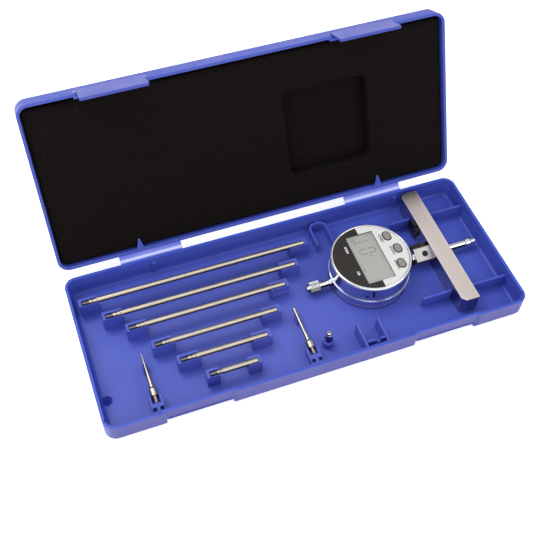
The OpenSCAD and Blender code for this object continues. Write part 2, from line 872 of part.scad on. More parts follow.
module rear_housing()
    color([0.72, 0.73, 0.75])
        gauge()
            difference() {
                union() {
                    rotate_extrude($fn = 96)
                        polygon([
                            [rear_in_r, housing_z], [rear_r, housing_z], [rear_r, shell_z - 1.4],
                            [dial_r + foot_w, shell_z - 0.9], [dial_r + foot_w, shell_z - 0.2],
                            [dial_r + foot_w - 0.2, shell_z], [5, shell_z], [5, deck_z],
                            [rear_in_r, deck_z]
                        ]);
                    for (a = [45:90:315])
                        rotate(a)
                            translate([screw_ring, 0, housing_z])
                                cylinder(r = 2.2, h = deck_z - housing_z + eps);
                }
                for (a = [45:90:315])
                    rotate(a)
                        translate([screw_ring, 0, housing_z - 1])
                            cylinder(r = 0.75, h = 6);
                translate([0, 0, axis_z]) along_x(20, 30, stem_r + eps);
                translate([0, 0, axis_z]) along_x(-30, -20, sleeve_r + eps);
                translate([0, guide_y, axis_z]) along_x(-26.2, 26.2, guide_r + eps);
            }

module rear_cover()
    color([0.68, 0.69, 0.71])
        gauge()
            difference() {
                translate([0, 0, cover_z]) cylinder(r = rear_r - 0.2, h = cover_t, $fn = 96);
                for (a = [45:90:315])
                    rotate(a)
                        translate([screw_ring, 0, cover_z - 1]) {
                            cylinder(r = 0.9, h = 4);
                            cylinder(r = 1.7, h = 1.9);
                        }
            }

module cover_screws()
    color([0.30, 0.30, 0.32])
        gauge()
            for (a = [45:90:315])
                rotate(a)
                    translate([screw_ring, 0, cover_z])
                        difference() {
                            union() {
                                translate([0, 0, 0.05]) cylinder(r = 1.6, h = 0.85);
                                cylinder(r = 0.7, h = 6);
                            }
                            box(-2, 2, -0.2, 0.2, -1, 0.45);
                        }

module stem()
    color([0.80, 0.81, 0.83])
        gauge()
            translate([0, 0, axis_z])
                difference() {
                    along_x(stem_in, stem_end, stem_r);
                    along_x(stem_in - 1, stem_end + 1, spindle_r + run_gap);
                }

module upper_sleeve()
    color([0.80, 0.81, 0.83])
        gauge()
            translate([0, 0, axis_z])
                difference() {
                    along_x(-dial_r - foot_w - 1.3, -24.2, sleeve_r);
                    along_x(-dial_r - foot_w - 3, -23, spindle_r + run_gap);
                }

module spindle()
    color([0.78, 0.77, 0.74])
        gauge()
            translate([0, 0, axis_z])
                difference() {
                    along_x(-cap_x - 5, shoulder_x, spindle_r);
                    along_x(shoulder_x - thread_l - 0.4, shoulder_x + 1, thread_r + 0.02);
                }

module lifting_cap()
    color([0.84, 0.84, 0.85])
        gauge()
            translate([-cap_x, 0, axis_z])
                difference() {
                    union() {
                        along_x(-0.8, 0, cap_r - 0.9);
                        rotate([0, -90, 0])
                            translate([0, 0, 0.7])
                                knurled(cap_r, cap_l - cap_stub_l - 0.7, 30);
                        along_x(-cap_l + 0.5, -cap_l + cap_stub_l + 0.2, cap_r - 1.6);
                        along_x(-cap_l, -cap_l + 0.6, cap_r - 2.1);
                    }
                    along_x(-5.1, 1, spindle_r + 0.01);
                }

module contact_point()
    color([0.84, 0.84, 0.83])
        gauge()
            translate([shoulder_x, 0, axis_z]) {
                along_x(-thread_l, 0.1, thread_r);
                rotate([0, 90, 0])
                    rotate_extrude()
                        polygon([
                            [0, 0.05], [collar_r - 0.5, 0.05], [collar_r, 0.5],
                            [collar_r, collar_l - 1], [spindle_r + 0.1, collar_l],
                            [spindle_r - 0.3, collar_l + tip_l - 0.9],
                            [spindle_r - 0.9, collar_l + tip_l - 0.2],
                            [spindle_r - 1.6, collar_l + tip_l], [0, collar_l + tip_l]
                        ]);
            }

module slider_bracket()
    color([0.70, 0.70, 0.70])
        gauge()
            translate([bracket_x, 0, axis_z])
                difference() {
                    union() {
                        box(0, bracket_w, guide_y - guide_r - 0.8, scale_y - 0.1, -spindle_r - 0.9,
                            spindle_r + 0.25);
                        box(0, bracket_w, 0, scale_y + scale_w, -0.9, 0.6);
                    }
                    along_x(-1, bracket_w + 1, spindle_r + eps);
                    translate([0, guide_y, 0]) along_x(-1, bracket_w + 1, guide_r + 0.04);
                }

module slider_plate()
    color([0.80, 0.65, 0.30])
        gauge()
            box(bracket_x + bracket_w - 19.1, bracket_x + bracket_w, scale_y, scale_y + scale_w,
                axis_z + 0.6, axis_z + 1.4);

module stator_board()
    color([0.10, 0.35, 0.20])
        gauge()
            box(-22.6, 22.6, scale_y, scale_y + scale_w, axis_z + 1.9, deck_z);

module guide_rod()
    color([0.75, 0.76, 0.78])
        gauge()
            translate([0, guide_y, axis_z])
                along_x(-26, 26, guide_r);

module return_spring()
    color([0.60, 0.60, 0.62])
        gauge()
            translate([0, guide_y, axis_z])
                difference() {
                    along_x(-24.6, bracket_x - 0.05, guide_r + 0.75);
                    along_x(-25, bracket_x + 1, guide_r + 0.2);
                }

// ---------- the depth base ----------

module base_bar()
    color([0.80, 0.76, 0.71])
        gauge()
            difference() {
                translate([bar_x, -bar_l / 2, bar_z])
                    linear_extrude(bar_h)
                        polygon([
                            [bar_chamfer, 0], [bar_w, 0], [bar_w, bar_l], [bar_chamfer, bar_l],
                            [0, bar_l - bar_chamfer], [0, bar_chamfer]
                        ]);
                translate([bar_x, 0, axis_z]) {
                    along_x(-1, spigot_l + 0.2, spigot_r + 0.02);
                    along_x(-1, bar_w + 1, bar_bore_r);
                }
                translate([bar_x, 0, axis_z])
                    rotate([clamp_tilt, 0, 0])
                        for (side = [-1, 1])
                            translate([0, side * bar_screw_at[0], side * bar_screw_at[1]]) {
                                along_x(-1, bar_w + 1, 0.85);
                                along_x(bar_w - 2, bar_w + 1, 1.7);
                            }
                translate([bar_x, bar_knob_y, bar_knob_z]) along_x(-1, 9, 1.53);
            }

module clamp_block()
    color([0.78, 0.78, 0.77])
        on_stem()
            difference() {
                union() {
                    translate([block_x, 0, 0])
                        rotate([90, 0, 90])
                            linear_extrude(block_l)
                                polygon([
                                    [block_chamfer - block_half, -block_down],
                                    [block_half - 0.6, -block_down], [block_half, 0.6 - block_down],
                                    [block_half, block_top - 0.6], [block_half - 0.6, block_top],
                                    [0.6 - block_half, block_top], [-block_half, block_top - 0.6],
                                    [-block_half, block_chamfer - block_down]
                                ]);
                    along_x(block_x + 4, bar_x + spigot_l, spigot_r);
                }
                along_x(block_x - 1, bar_x + 9, stem_r + run_gap);
                translate([screw_mid, 0, 0]) cylinder(r = set_r + 0.03, h = 9);
                translate([knob_mid, 0, 0]) along_y(0, 9, 1.53);
                for (side = [-1, 1])
                    translate([0, side * bar_screw_at[0], side * bar_screw_at[1]])
                        along_x(bar_x - 6, bar_x + 1, 0.81);
            }

module clamp_knob()
    color([0.12, 0.12, 0.13])
        on_stem()
            translate([knob_mid, 0, 0]) {
                rotate([-90, 0, 0])
                    translate([0, 0, block_half + 0.3])
                        knurled(knob_r, knob_t, 36);
                along_y(stem_r + 0.1, block_half + 1, 1.5);
            }

module set_screw()
    color([0.10, 0.10, 0.10])
        on_stem()
            difference() {
                translate([screw_mid, 0, stem_r]) cylinder(r = set_r, h = block_top - stem_r - 0.3);
                translate([screw_mid, 0, block_top - 1.1]) cylinder(r = 1.3, h = 2, $fn = 6);
            }

module bar_screws()
    color([0.25, 0.25, 0.27])
        on_stem()
            for (side = [-1, 1])
                translate([bar_x, side * bar_screw_at[0], side * bar_screw_at[1]])
                    difference() {
                        union() {
                            along_x(-5, bar_w - 1.9, 0.8);
                            along_x(bar_w - 1.95, bar_w - 0.3, 1.6);
                        }
                        rotate([0, 90, 0])
                            translate([0, 0, bar_w - 1.2])
                                cylinder(r = 0.8, h = 2, $fn = 6);
                    }

// A thin knurled knob on the bar's near face, with its screw in the bar
module bar_knob()
    color([0.12, 0.12, 0.11])
        gauge()
            translate([bar_x, bar_knob_y, bar_knob_z]) {
                rotate([0, -90, 0])
                    translate([0, 0, 0.15]) knurled(bar_knob_r, bar_knob_t, 44);
                along_x(-1, 8.4, 1.5);
            }

// ---------- rods and points ----------

module extension_rod(n, y)
    color([0.80, 0.79, 0.76])
        place()
            translate([rod_x0(n), y, rod_z])
                rotate([0, 90, 0])
                    union() {
                        difference() {
                            rotate_extrude()
                                polygon([
                                    [0, 0], [rod_r - 0.35, 0], [rod_r - 0.35, 0.4], [rod_r, 0.7],
                                    [rod_r, n * inch - 0.3],
                                    [rod_r - 0.3, n * inch], [0, n * inch]
                                ]);
                            translate([0, 0, n * inch - thread_l - 1]) cylinder(r = thread_r + 0.05, h = 9);
                        }
                        translate([0, 0, -neck(n)])
                            rotate_extrude()
                                polygon([
                                    [0, 0], [thread_r, 0], [rod_r - 0.5, 0.5], [rod_r - 0.35, 0.7],
                                    [rod_r - 0.35, neck(n) * 0.42], [rod_r - 0.75, neck(n) * 0.48],
                                    [rod_r - 0.75, neck(n) * 0.52], [rod_r - 0.35, neck(n) * 0.58],
                                    [rod_r - 0.35, neck(n)], [0, neck(n)]
                                ]);
                        translate([0, 0, -neck(n) - thread_l]) thread(thread_r, thread_l);
                    }

module extension_rod_6() extension_rod(6, rod_y[0]);

module extension_rod_5() extension_rod(5, rod_y[1]);

module extension_rod_4() extension_rod(4, rod_y[2]);

module extension_rod_3() extension_rod(3, rod_y[3]);

module extension_rod_2() extension_rod(2, rod_y[4]);

module extension_rod_1() extension_rod(1, rod_y[5]);

// A loose point along +Y from its shoulder: thread, head, then its own outline
module loose_point(x, outline)
    color([0.85, 0.83, 0.76])
        place()
            translate([x, point_y, point_z])
                rotate([-90, 0, 0]) {
                    translate([0, 0, -thread_l]) thread(thread_r, thread_l);
                    rotate_extrude()
                        polygon(concat([[0, 0], [head_r - 0.3, 0], [head_r, 0.3]], outline));
                }

module needle_point()
    loose_point(point_x[0], [
        [head_r, head_l - 0.2], [shank_r + 0.6, head_l + 1.4], [shank_r - 0.1, needle_l * 0.57],
        [0.25, needle_l - 1], [0, needle_l]
    ]);

module flat_point()
    loose_point(point_x[1], [
        [head_r, head_l - 0.4], [shank_r + 0.35, head_l + 1.4], [shank_r - 0.05, flat_l * 0.5],
        [shank_r - 0.05, flat_l - 2], [shank_r + 0.2, flat_l - 1.4], [shank_r + 0.2, flat_l - 0.2],
        [shank_r, flat_l], [0, flat_l]
    ]);

module button_point()
    color([0.84, 0.84, 0.82])
        place()
            translate([post_x, post_y, post_top]) {
                translate([0, 0, -thread_l]) cylinder(r = thread_r, h = thread_l + 0.2);
                rotate_extrude()
                    polygon([
                        [0, 0.1], [2.5, 0.1], [2.8, 0.4], [2.8, 2.2], [2.05, 3.4], [2.05, 6.6],
                        [1.6, 7], [1.6, 8.9], [1.2, 9.3], [0, 9.4]
                    ]);
            }

case_tray();
case_lid();
living_hinges();
foam_pad();
foam_backing();
clasp_left();
clasp_right();
clasp_pins();
front_shell();
bezel_ring();
face_plate();
window_lens();
lcd_panel();
lcd_frame();
button_on();
button_zero();
button_unit();
button_up();
button_down();
key_domes();
circuit_board();
battery();
battery_clip();
battery_door();
door_screw();
rear_housing();
rear_cover();
cover_screws();
stem();
upper_sleeve();
spindle();
lifting_cap();
contact_point();
slider_bracket();
slider_plate();
stator_board();
guide_rod();
return_spring();
base_bar();
clamp_block();
clamp_knob();
set_screw();
bar_screws();
extension_rod_6();
extension_rod_5();
extension_rod_4();
extension_rod_3();
extension_rod_2();
extension_rod_1();
needle_point();
flat_point();
button_point();
bar_knob();
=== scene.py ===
"""Looks and stage for the depth gauge set: materials, soft and fine pieces, lights and camera."""

import math

import bmesh
import bpy
import numpy as np
from mathutils import Matrix, Quaternion, Vector


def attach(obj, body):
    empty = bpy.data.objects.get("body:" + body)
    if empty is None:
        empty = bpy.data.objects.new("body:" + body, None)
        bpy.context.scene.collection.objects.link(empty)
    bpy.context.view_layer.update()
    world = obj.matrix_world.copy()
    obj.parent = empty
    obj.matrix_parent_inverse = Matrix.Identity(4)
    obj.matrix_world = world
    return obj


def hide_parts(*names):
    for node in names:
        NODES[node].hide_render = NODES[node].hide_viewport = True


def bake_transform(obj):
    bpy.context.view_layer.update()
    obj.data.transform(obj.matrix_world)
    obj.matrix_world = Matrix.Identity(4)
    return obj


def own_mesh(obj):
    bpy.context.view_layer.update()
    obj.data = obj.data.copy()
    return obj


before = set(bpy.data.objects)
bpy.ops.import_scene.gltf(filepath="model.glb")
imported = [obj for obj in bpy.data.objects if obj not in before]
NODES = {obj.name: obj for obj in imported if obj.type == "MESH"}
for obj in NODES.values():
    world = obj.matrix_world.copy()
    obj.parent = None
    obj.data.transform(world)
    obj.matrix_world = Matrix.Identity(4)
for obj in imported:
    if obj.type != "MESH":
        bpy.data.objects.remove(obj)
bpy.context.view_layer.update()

MM = 0.001

# ---------- numbers that repeat the part's own ----------

CASE_W, CASE_D, RIM_Z = 299.0, 121.0, 16.0
HINGE_Y = CASE_D + 3.3
LID_Z = RIM_Z + 0.2
LID_OPEN = math.radians(114.0)
HINGE_XS = (64.0, 235.0)
HINGE_W = 45.0
DIAL_X, AXIS_Y, AXIS_Z = 206.5, 63.7, 8.4
DIAL_R = 28.4
FACE_TOP = 25.65
LCD_TOP = 23.95
OVAL_BUTTONS = ((17.9, 13.2), (20.8, 0.8), (17.9, -12.0))
ROUND_BUTTONS = ((-16.8, 14.2), (-16.8, -13.0))
SPRING_Y = -5.6
ROD_MID, ROD_Z, HALF_INCH = 94.0, 13.3, 12.7
ROD_YS = {6: 99.5, 5: 83.9, 4: 69.9, 3: 51.6, 2: 35.0, 1: 18.4}
ROD_NECK, SHORT_ROD_NECK = 4.4, 2.4
NEEDLE_X, FLAT_X, POINT_THREAD_Y, POINT_Z = 36.2, 144.9, 18.0, 8.0


def tray_point(x, y, z):
    """A point of the case in millimetres, from its front left corner, in the row frame in metres."""
    return Vector(((x - CASE_W / 2) * MM, (y - CASE_D / 2) * MM, z * MM))


def dial_point(x, y, z):
    """A point measured from the dial's centre, with its height above the tray's underside."""
    return tray_point(DIAL_X + x, AXIS_Y + y, z)


def opened_matrix():
    """Carries the closed lid, in the row frame, to where it stands open."""
    pivot = tray_point(CASE_W / 2, HINGE_Y, RIM_Z)
    turn = Matrix.Rotation(-LID_OPEN, 4, "X")
    return Matrix.Translation(pivot) @ turn @ Matrix.Translation(-pivot)


# ---------- materials ----------

FADE = 0.3 * MM


def linear(r, g, b):
    """sRGB 0..255 to the linear colour that the shader takes."""
    def one(v):
        v /= 255
        return v / 12.92 if v <= 0.04045 else ((v + 0.055) / 1.055) ** 2.4
    return (one(r), one(g), one(b), 1.0)


def scaled(colour, by):
    return tuple(min(255, int(c * by)) for c in colour)


class Look:
    """A material in the object's own coordinates, built a layer at a time."""

    def __init__(self, name, colour, rough, metal=0.0, **sockets):
        self.mat = bpy.data.materials.new(name)
        self.mat.use_nodes = True
        self.tree = self.mat.node_tree
        self.shader = self.tree.nodes["Principled BSDF"]
        self.colour = colour
        self.set("Base Color", linear(*colour))
        self.set("Roughness", rough)
        self.set("Metallic", metal)
        for key, value in sockets.items():
            self.set(key.replace("_", " "), value)
        coordinates = self.tree.nodes.new("ShaderNodeTexCoord")
        self.coord = coordinates.outputs["Object"]
        self.outward = coordinates.outputs["Normal"]
        self.normal = None

    def set(self, socket, value):
        self.shader.inputs[socket].default_value = value

    def node(self, kind, **values):
        made = self.tree.nodes.new(kind)
        for key, value in values.items():
            if key in made.inputs:
                made.inputs[key].default_value = value
            else:
                setattr(made, key, value)
        return made

    def link(self, a, b):
        self.tree.links.new(a, b)

    def feed(self, socket, value):
        """Gives an input an output to follow, or a value to hold."""
        if isinstance(value, bpy.types.NodeSocket):
            self.link(value, socket)
        else:
            socket.default_value = value

    def maths(self, operation, *values):
        made = self.node("ShaderNodeMath", operation=operation)
        for socket, value in zip(made.inputs, values):
            self.feed(socket, value)
        return made.outputs["Value"]

    def vectors(self, operation, *values, result="Vector"):
        made = self.node("ShaderNodeVectorMath", operation=operation)
        for socket, value in zip(made.inputs, values):
            self.feed(socket, value)
        return made.outputs[result]

    def dot(self, a, b):
        return self.vectors("DOT_PRODUCT", a, b, result="Value")

    def times(self, a, b):
        return self.maths("MULTIPLY", a, b)

    def split(self, vector, which):
        made = self.node("ShaderNodeSeparateXYZ")
        self.link(vector, made.inputs["Vector"])
        return made.outputs[which]

    def spread(self, fac, low, high, to_low=0.0, to_high=1.0):
        """Carries a factor from one range to another, and stops at its ends."""
        made = self.node("ShaderNodeMapRange")
        for key, value in zip(("From Min", "From Max", "To Min", "To Max"), (low, high, to_low, to_high)):
            made.inputs[key].default_value = value
        self.link(fac, made.inputs["Value"])
        return made.outputs["Result"]

    def axis(self, which, start, end, before=0.0, after=1.0):
        """One value before a place on an axis and another past a second place, both in metres."""
        return self.spread(self.split(self.coord, which), start, end, before, after)

    def noise(self, scale, detail=2.0, stretch=(1, 1, 1)):
        place = self.node("ShaderNodeMapping")
        place.inputs["Scale"].default_value = stretch
        self.link(self.coord, place.inputs["Vector"])
        made = self.node("ShaderNodeTexNoise", Scale=scale, Detail=detail)
        self.link(place.outputs["Vector"], made.inputs["Vector"])
        return made.outputs["Fac"]

    def cloud(self, scale, amount, detail=3.0, stretch=(1, 1, 1), low=0.35, high=0.65):
        """Soft patches between 0 and an amount."""
        return self.spread(self.noise(scale, detail, stretch), low, high, 0.0, amount)

    def mix(self, kind, fac, a, b):
        """Colours (RGBA) or vectors (VECTOR): the first where the factor is 0, the second where it is 1."""
        made = self.node("ShaderNodeMix", data_type=kind)
        for name, sort, value in (("Factor", "VALUE", fac), ("A", kind, a), ("B", kind, b)):
            self.feed(next(s for s in made.inputs if s.name == name and s.type == sort), value)
        return next(s for s in made.outputs if s.type == kind)

    def blend(self, fac, a, b):
        """Mixes two colours, each an sRGB colour or an output."""
        a, b = (linear(*value) if isinstance(value, tuple) else value for value in (a, b))
        return self.mix("RGBA", fac, a, b)

    def tint(self, colour):
        self.link(colour, self.shader.inputs["Base Color"])

    def drive(self, socket, fac, at_none, at_full):
        """Lets a factor carry a shader input from one value to another."""
        self.link(self.spread(fac, 0.0, 1.0, at_none, at_full), self.shader.inputs[socket])

    def shade_by(self, normal):
        self.normal = normal
        self.link(normal, self.shader.inputs["Normal"])

    def mottle(self, scale, other, amount=1.0, **noise):
        """Lets the colour wander softly towards another."""
        self.tint(self.blend(self.cloud(scale, amount, **noise), self.colour, other))

    def wear(self, scale, low, high, stretch=(1, 1, 1)):
        """Lets the roughness wander between two values."""
        self.link(self.spread(self.noise(scale, 4.0, stretch), 0.3, 0.7, low, high),
                  self.shader.inputs["Roughness"])

    def rounded(self, radius_mm):
        """The normal as it would be with rounded edges."""
        return self.node("ShaderNodeBevel", samples=6, Radius=radius_mm * MM).outputs["Normal"]

    def soft_edges(self, radius_mm):
        self.shade_by(self.rounded(radius_mm))

    def bump(self, height, depth_mm, strength=1.0):
        made = self.node("ShaderNodeBump", Strength=strength, Distance=depth_mm * MM)
        self.link(height, made.inputs["Height"])
        if self.normal is not None:
            self.link(self.normal, made.inputs["Normal"])
        self.shade_by(made.outputs["Normal"])

    def grain(self, scale, depth_mm, detail=2.0, stretch=(1, 1, 1), strength=1.0):
        self.bump(self.noise(scale, detail, stretch), depth_mm, strength)

    def near(self, point, inner_mm, outer_mm):
        """1 within the inner distance of a point, 0 beyond the outer one."""
        away = self.vectors("DISTANCE", self.coord, point, result="Value")
        return self.spread(away, inner_mm * MM, outer_mm * MM, 1.0, 0.0)

    def upright(self):
        """1 on faces that stand upright, 0 on level ones."""
        return self.spread(self.maths("ABSOLUTE", self.split(self.outward, "Z")), 0.4, 0.6, 1.0, 0.0)

    def facing(self, way, low, high):
        """1 on faces that look along one way of the object, 0 on faces turned from it."""
        return self.spread(self.dot(self.outward, way), low, high)

    def edges(self, radius_mm):
        """1 along sharp edges, 0 on the faces between them."""
        flat = self.node("ShaderNodeNewGeometry").outputs["Normal"]
        return self.spread(self.dot(self.rounded(radius_mm), flat), 0.86, 0.985, 1.0, 0.0)

    def round_way(self, centre, across):
        """The way out from an axis through a point, in the object's own frame."""
        away = self.vectors("SUBTRACT", self.coord, centre)
        return self.vectors("NORMALIZE", self.vectors("MULTIPLY", away, across))

    def round_normal(self, way, where):
        """Shades a faceted round by its way out, where a factor is 1."""
        turn = self.node("ShaderNodeVectorTransform", vector_type="NORMAL", convert_from="OBJECT",
                         convert_to="WORLD")
        self.link(way, turn.inputs["Vector"])
        flat = self.node("ShaderNodeNewGeometry").outputs["Normal"]
        self.shade_by(self.mix("VECTOR", where, flat, turn.outputs["Vector"]))

    def top_light(self, way, tilt, high, low, full):
        """1 where a way out points up, or up and a little to either side, 0 where it points down."""
        aside = self.maths("ABSOLUTE", self.dot(way, tilt))
        return self.spread(self.maths("ADD", aside, self.dot(way, high)), low, full)


def moulded(name):
    """Matt moulded blue, a little uneven in colour: the look, and its colour so far."""
    look = Look(name, (60, 74, 166), 0.42, Specular_IOR_Level=0.32)
    base = look.blend(look.cloud(14, 0.7), (58, 73, 165), (64, 79, 173))
    look.wear(40, 0.36, 0.48)
    look.soft_edges(0.6)
    look.grain(60, 0.05, 3.0)
    look.grain(2600, 0.006)
    return look, base


def tray_plastic():
    """Painted light throughout: paler towards the middle, a painted pool of light; redder on the front
    wall, a painted reflection of the pale floor; bluer along the top edge of the walls, a painted
    highlight; near black in a small round patch by the left wall, painted shade of a dimple.
    """
    look, base = moulded("tray_plastic")
    # Painted light: a pool of light, paler towards the middle of the floor.
    pale = look.near(tray_point(130, 28, 1.4), 15, 120)
    base = look.blend(pale, base, (76, 87, 173))
    # Painted reflection: the outer front wall turned redder, as the pale floor under the warm front lamp
    # would tint it.
    front = look.axis("Y", tray_point(0, 1.6, 0).y, tray_point(0, 2.4, 0).y, 1.0, 0.0)
    base = look.blend(look.times(front, look.facing((0, -1, 0), 0.4, 0.8)), base, (63, 65, 138))
    # Painted highlight: bluer along the top edge of the walls.
    rim_highlight = look.axis("Z", (RIM_Z - 0.7) * MM, (RIM_Z - 0.1) * MM)
    base = look.blend(rim_highlight, base, (54, 76, 176))
    # Painted shade: a near black round patch with little shine, where a small dimple by the left wall lies
    # in shade.
    dimple_shade = look.near(tray_point(6.6, 28, 1.4), 2.2, 4.2)
    look.tint(look.blend(dimple_shade, base, (22, 32, 134)))
    look.drive("Specular IOR Level", dimple_shade, 0.32, 0.05)
    return look.mat


def lid_plastic():
    """The moulded blue, with a painted highlight, paler, along its edges."""
    look, base = moulded("lid_plastic")
    # Painted highlight: paler along the edges.
    edge_highlight = look.spread(look.edges(0.5), 0.0, 1.0, 0.0, 0.8)
    look.tint(look.blend(edge_highlight, base, (112, 130, 208)))
    return look.mat


def clasp_plastic():
    look = Look("clasp_plastic", (54, 63, 156), 0.34, Specular_IOR_Level=0.45)
    look.mottle(20, (60, 72, 166), 0.6)
    look.wear(60, 0.28, 0.40)
    look.soft_edges(0.35)
    look.grain(2600, 0.006)
    return look.mat


def strip_plastic():
    """A painted highlight: a pale stripe along the fold, where the strip is thinnest."""
    look = Look("strip_plastic", (92, 104, 200), 0.3, Specular_IOR_Level=0.6)
    wall = tray_point(0, CASE_D, 0).y
    # Painted highlight: a pale stripe along the fold, between these two places.
    rise = look.axis("Y", wall + 0.7 * MM, wall + 2.0 * MM)
    fall = look.axis("Y", wall + 2.2 * MM, wall + 3.6 * MM, 1.0, 0.0)
    cloud = look.cloud(240, 0.6, stretch=(0.2, 1, 1))
    base = look.blend(cloud, (92, 104, 200), (122, 134, 214))
    look.tint(look.blend(look.times(rise, fall), base, (196, 204, 240)))
    look.grain(900, 0.02, 3.0, stretch=(0.3, 1, 1))
    return look.mat


def foam():
    look = Look("foam", (12, 9, 8), 0.95, Specular_IOR_Level=0.08)
    look.mottle(1300, (30, 25, 21), 0.8, detail=4.0, low=0.45, high=0.72)
    cells = look.node("ShaderNodeTexVoronoi", Scale=1500.0)
    look.link(look.coord, cells.inputs["Vector"])
    look.bump(cells.outputs["Distance"], 0.25, 0.8)
    look.grain(500, 0.3, 4.0, strength=0.7)
    return look.mat


def chrome():
    look = Look("chrome", (222, 222, 224), 0.07, 1.0)
    look.soft_edges(0.2)
    look.wear(300, 0.049, 0.119)
    look.grain(400, 0.002, 3.0)
    return look.mat


def block_steel():
    """Satin above; the polished sides carry a painted reflection of the tray's blue, and the edges a
    painted highlight.
    """
    look = Look("block_steel", (206, 202, 192), 0.38, 0.75)
    base = look.blend(look.cloud(160, 0.6), (199, 195, 185), (190, 186, 176))
    # Painted reflection: the upright sides tinted with the tray's blue.
    side = look.upright()
    base = look.blend(side, base, (118, 114, 134))
    # Painted highlight: near white along the edges.
    look.tint(look.blend(look.edges(0.25), base, (245, 244, 240)))
    look.drive("Roughness", side, 0.36, 0.14)
    look.grain(3500, 0.003)
    return look.mat


def shell_chrome():
    """Bright outside, with painted shade, near black, within its slot and screw hole."""
    bright = (180, 182, 200)
    look = Look("shell_chrome", bright, 0.07, 1.0)
    level = look.vectors("MULTIPLY", look.coord, (1, 1, 0))
    middle = dial_point(0, 0, 0)
    far = look.vectors("DISTANCE", level, (middle.x, middle.y, 0), result="Value")
    # Painted shade: near black within the slot and screw hole cut in the shell.
    slot_shade = look.spread(far, (DIAL_R - 0.35) * MM, (DIAL_R - 0.15) * MM, 1.0, 0.0)
    look.tint(look.blend(slot_shade, bright, (10, 10, 14)))
    look.wear(300, 0.05, 0.1)
    look.grain(400, 0.002, 3.0)
    return look.mat


def rear_chrome():
    """Mirror bright, and satin where it meets the tray's floor, with a painted reflection of the floor's
    blue there.
    """
    bright = (186, 190, 214)
    look = Look("rear_chrome", bright, 0.06)
    # Painted reflection: the floor's blue painted low on the housing, which is also made satin there.
    foot_satin_and_reflection = look.axis("Z", 3.0 * MM, 4.6 * MM, 1.0, 0.0)
    look.tint(look.blend(foot_satin_and_reflection, bright, (108, 110, 190)))
    look.drive("Metallic", foot_satin_and_reflection, 1.0, 0.2)
    look.drive("Roughness", foot_satin_and_reflection, 0.06, 0.4)
    look.soft_edges(0.2)
    look.grain(400, 0.002, 3.0)
    return look.mat


def ground(name, colour, rough, stretch, edge=0.15):
    """Steel or brass with fine grinding lines: stretch is large across the lines."""
    look = Look(name, colour, rough, 1.0)
    look.mottle(260, scaled(colour, 0.82), 0.55, stretch=stretch)
    look.wear(420, rough * 0.75, rough * 1.4, stretch)
    look.soft_edges(edge)
    look.grain(900, 0.004, 3.0, stretch)
    return look.mat


def bar_nickel():
    """Lapped faces above and below, warm and satin, with painted shade towards the far end of the top,
    bright polished sides that carry a painted reflection of the tray's blue, and a painted highlight along
    the edges.
    """
    look = Look("bar_nickel", (222, 204, 192), 0.3, 1.0)
    cloud = look.cloud(30, 1.0, stretch=(1, 0.5, 1), low=0.3, high=0.7)
    base = look.blend(cloud, (220, 203, 186), (228, 213, 198))
    lines = look.cloud(120, 0.6, stretch=(1, 0.06, 1), low=0.45, high=0.75)
    base = look.blend(lines, base, (238, 226, 216))
    # Painted shade: the top darker towards its far end.
    back_shade = look.axis("Y", dial_point(0, 36, 0).y, dial_point(0, 51, 0).y)
    top = look.blend(look.times(back_shade, back_shade), base, (124, 110, 98))
    # Painted reflection: the upright sides tinted with the tray's blue.
    side = look.upright()
    faces = look.blend(side, top, (150, 150, 172))
    # Painted highlight: near white along the edges, less metallic there.
    edge = look.edges(0.3)
    look.tint(look.blend(edge, faces, (246, 240, 232)))
    look.drive("Metallic", edge, 1.0, 0.2)
    look.drive("Roughness", side, 0.34, 0.09)
    look.grain(260, 0.0012, 3.0)
    return look.mat


def rod_steel(name, colour, axis, edge, centre, rough=0.32, shade=0.26, low=0.45, shade_band=None):
    """Polished steel along one axis, with painted light: a painted highlight on top and painted shade at
    the sides.

    It is greyer on the thread, before an edge, with painted light and shade there too, and dark between two
    places, a painted shade.
    """
    up = (0, 0, 0.89)
    body_start, body_full = 4.3 * MM, 4.6 * MM
    look = Look(name, colour, rough, 1.0)
    along_x = axis == "X"
    way = look.round_way(centre, (0, 1, 1) if along_x else (1, 0, 1))
    tilt = (0, 0.45, 0) if along_x else (0.35, 0, 0)
    # Painted light: lit is 1 on the top of the round and 0 at the sides, which get painted shade.
    lit = look.top_light(way, tilt, up, low, 0.98)
    bright = look.blend(look.cloud(90, 0.5, stretch=(0.4, 0.4, 0.4)), colour, scaled(colour, 0.94))
    base = look.blend(lit, scaled(colour, shade), bright)
    # Painted highlight: a narrow bright line along the top.
    line = look.top_light(way, tilt, up, 0.95, 0.995)
    base = look.blend(line, base, scaled(colour, 1.32))
    if edge is not None:
        # The thread is greyer, and also gets painted light on top and painted shade at the sides.
        thread = look.blend(lit, (58, 54, 50), (176, 168, 156))
        base = look.blend(look.axis(axis, edge - FADE, edge, 1.0, 0.0), base, thread)
    if shade_band is not None:
        # Painted shade: dark between two places along the axis.
        start = look.axis(axis, shade_band[0] - FADE, shade_band[0])
        end = look.axis(axis, shade_band[1], shade_band[1] + FADE, 1.0, 0.0)
        base = look.blend(look.times(start, end), base, (62, 58, 60))
    look.tint(base)
    look.wear(300, rough * 0.85, rough * 1.2)
    if along_x and edge is not None:
        not_left = look.facing((1, 0, 0), -0.5, -0.3)
        right = look.facing((1, 0, 0), 0.3, 0.5)
        sides = look.times(not_left, look.spread(right, 0.0, 1.0, 1.0, 0.0))
        body = look.axis(axis, edge + body_start, edge + body_full)
        look.round_normal(way, look.times(body, sides))
    look.grain(1200, 0.001)
    return look.mat


